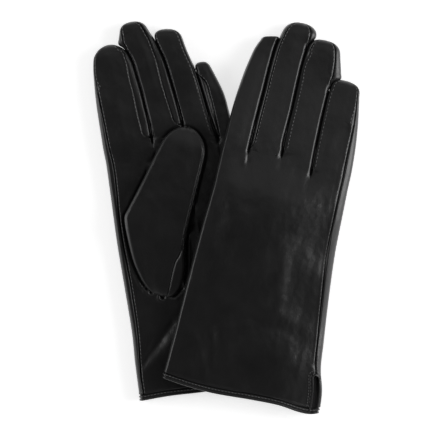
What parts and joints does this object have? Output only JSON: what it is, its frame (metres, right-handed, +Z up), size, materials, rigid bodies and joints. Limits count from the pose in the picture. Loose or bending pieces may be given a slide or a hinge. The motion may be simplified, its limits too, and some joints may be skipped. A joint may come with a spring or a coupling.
{
  "type": "pair of leather gloves",
  "caption": "Pair of lined black leather gloves with fourchettes, thumbs and vented cuffs, lying one across the other",
  "frame": {"origin": "middle of the pair's footprint, on the surface it lies on", "axes": "+Y towards the fingertips, +X towards the little finger's side of both gloves, +Z up out of the surface"},
  "size_m": [0.1732, 0.2564, 0.0299],
  "materials": {
    "leather": "soft black nappa with a low sheen",
    "bound_edge": "the same leather folded over an edge, a little shinier",
    "lining": "dark fine knit"
  },
  "bodies": {
    "left_hand": {"left_back_panel": "leather", "left_palm_panel": "leather", "left_thumb_base": "leather", "left_hand_lining": "lining", "left_cuff_binding": "bound_edge", "left_vent_binding": "bound_edge", "left_index_middle_gusset": "leather", "left_middle_ring_gusset": "leather", "left_ring_little_gusset": "leather"},
    "left_index": {"left_index_back": "leather", "left_index_palm": "leather", "left_index_far_side": "leather", "left_index_lining": "lining"},
    "left_middle": {"left_middle_back": "leather", "left_middle_palm": "leather", "left_middle_far_side": "leather", "left_middle_near_side": "leather", "left_middle_lining": "lining"},
    "left_ring": {"left_ring_back": "leather", "left_ring_palm": "leather", "left_ring_far_side": "leather", "left_ring_near_side": "leather", "left_ring_lining": "lining"},
    "left_little": {"left_little_back": "leather", "left_little_palm": "leather", "left_little_near_side": "leather", "left_little_lining": "lining"},
    "left_thumb": {"left_thumb_leather": "leather", "left_thumb_lining": "lining"},
    "right_hand": {"right_back_panel": "leather", "right_palm_panel": "leather", "right_thumb_base": "leather", "right_hand_lining": "lining", "right_cuff_binding": "bound_edge", "right_vent_binding": "bound_edge", "right_index_middle_gusset": "leather", "right_middle_ring_gusset": "leather", "right_ring_little_gusset": "leather"},
    "right_index": {"right_index_back": "leather", "right_index_palm": "leather", "right_index_far_side": "leather", "right_index_lining": "lining"},
    "right_middle": {"right_middle_back": "leather", "right_middle_palm": "leather", "right_middle_far_side": "leather", "right_middle_near_side": "leather", "right_middle_lining": "lining"},
    "right_ring": {"right_ring_back": "leather", "right_ring_palm": "leather", "right_ring_far_side": "leather", "right_ring_near_side": "leather", "right_ring_lining": "lining"},
    "right_little": {"right_little_back": "leather", "right_little_palm": "leather", "right_little_near_side": "leather", "right_little_lining": "lining"},
    "right_thumb": {"right_thumb_leather": "leather", "right_thumb_lining": "lining"}
  },
  "joints": [
    {"name": "right_glove_lift", "type": "slide", "parent": "left_hand", "child": "right_hand", "axis": [0, 0, 1], "range_m": [0, 0.12]},
    {"name": "left_index_bend", "type": "hinge", "parent": "left_hand", "child": "left_index", "pos_m": [-0.06381, 0.04277, 0.0103], "axis": [0.9863, 0.165, 0], "range_deg": [0, 75]},
    {"name": "left_middle_bend", "type": "hinge", "parent": "left_hand", "child": "left_middle", "pos_m": [-0.03779, 0.0527, 0.0103], "axis": [0.9863, 0.165, 0], "range_deg": [0, 18]},
    {"name": "left_ring_bend", "type": "hinge", "parent": "left_hand", "child": "left_ring", "pos_m": [-0.01772, 0.05606, 0.0103], "axis": [0.9863, 0.165, 0], "range_deg": [0, 75]},
    {"name": "left_little_bend", "type": "hinge", "parent": "left_hand", "child": "left_little", "pos_m": [0.00073, 0.05306, 0.0103], "axis": [0.9863, 0.165, 0], "range_deg": [0, 4]},
    {"name": "left_thumb_lift", "type": "hinge", "parent": "left_hand", "child": "left_thumb", "pos_m": [-0.04581, -0.0104, 0.00985], "axis": [0.9703, -0.2419, 0], "range_deg": [0, 80]},
    {"name": "right_index_bend", "type": "hinge", "parent": "right_hand", "child": "right_index", "pos_m": [0.00606, 0.04491, 0.0244], "axis": [0.9723, -0.2245, -0.0659], "range_deg": [0, 50]},
    {"name": "right_middle_bend", "type": "hinge", "parent": "right_hand", "child": "right_middle", "pos_m": [0.02683, 0.04217, 0.02262], "axis": [0.9723, -0.2245, -0.0659], "range_deg": [0, 50]},
    {"name": "right_ring_bend", "type": "hinge", "parent": "right_hand", "child": "right_ring", "pos_m": [0.04658, 0.03504, 0.02181], "axis": [0.9723, -0.2245, -0.0659], "range_deg": [0, 50]},
    {"name": "right_little_bend", "type": "hinge", "parent": "right_hand", "child": "right_little", "pos_m": [0.06808, 0.02546, 0.02101], "axis": [0.9723, -0.2245, -0.0659], "range_deg": [0, 50]},
    {"name": "right_thumb_swing", "type": "hinge", "parent": "right_hand", "child": "right_thumb", "pos_m": [0.01218, -0.01326, 0.0101], "axis": [0, 0, 1], "range_deg": [0, 8]}
  ]
}
